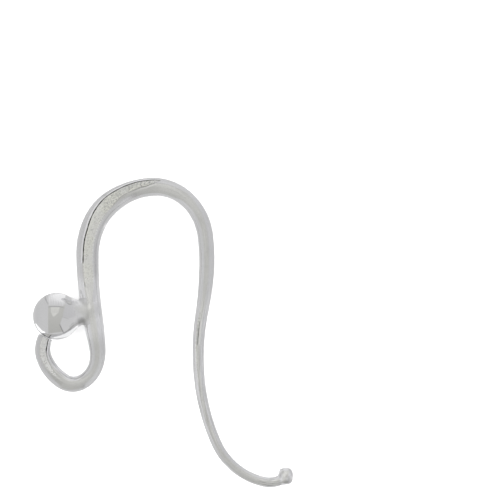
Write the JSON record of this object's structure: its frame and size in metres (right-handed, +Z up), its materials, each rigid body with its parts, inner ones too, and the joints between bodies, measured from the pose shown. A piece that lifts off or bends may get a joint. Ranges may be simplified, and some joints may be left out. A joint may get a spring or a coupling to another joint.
{
  "type": "ear wire",
  "caption": "Cast shepherd's hook ear wire with a ball and an open loop in front for a drop, tapering behind the ear to a thin swept tail with a beaded tip, lying on its side.",
  "frame": {"origin": "middle of the lying ear wire's bounding box, on the surface that it lies on", "axes": "+Z up from the surface, +Y from the tail's side to the bow's side, +X from the ball's side to the tip's side"},
  "size_m": [0.0168, 0.0202, 0.003],
  "materials": {
    "silver": "polished cast sterling silver"
  },
  "bodies": {
    "root": {"ear_wire": "silver"}
  },
  "joints": []
}
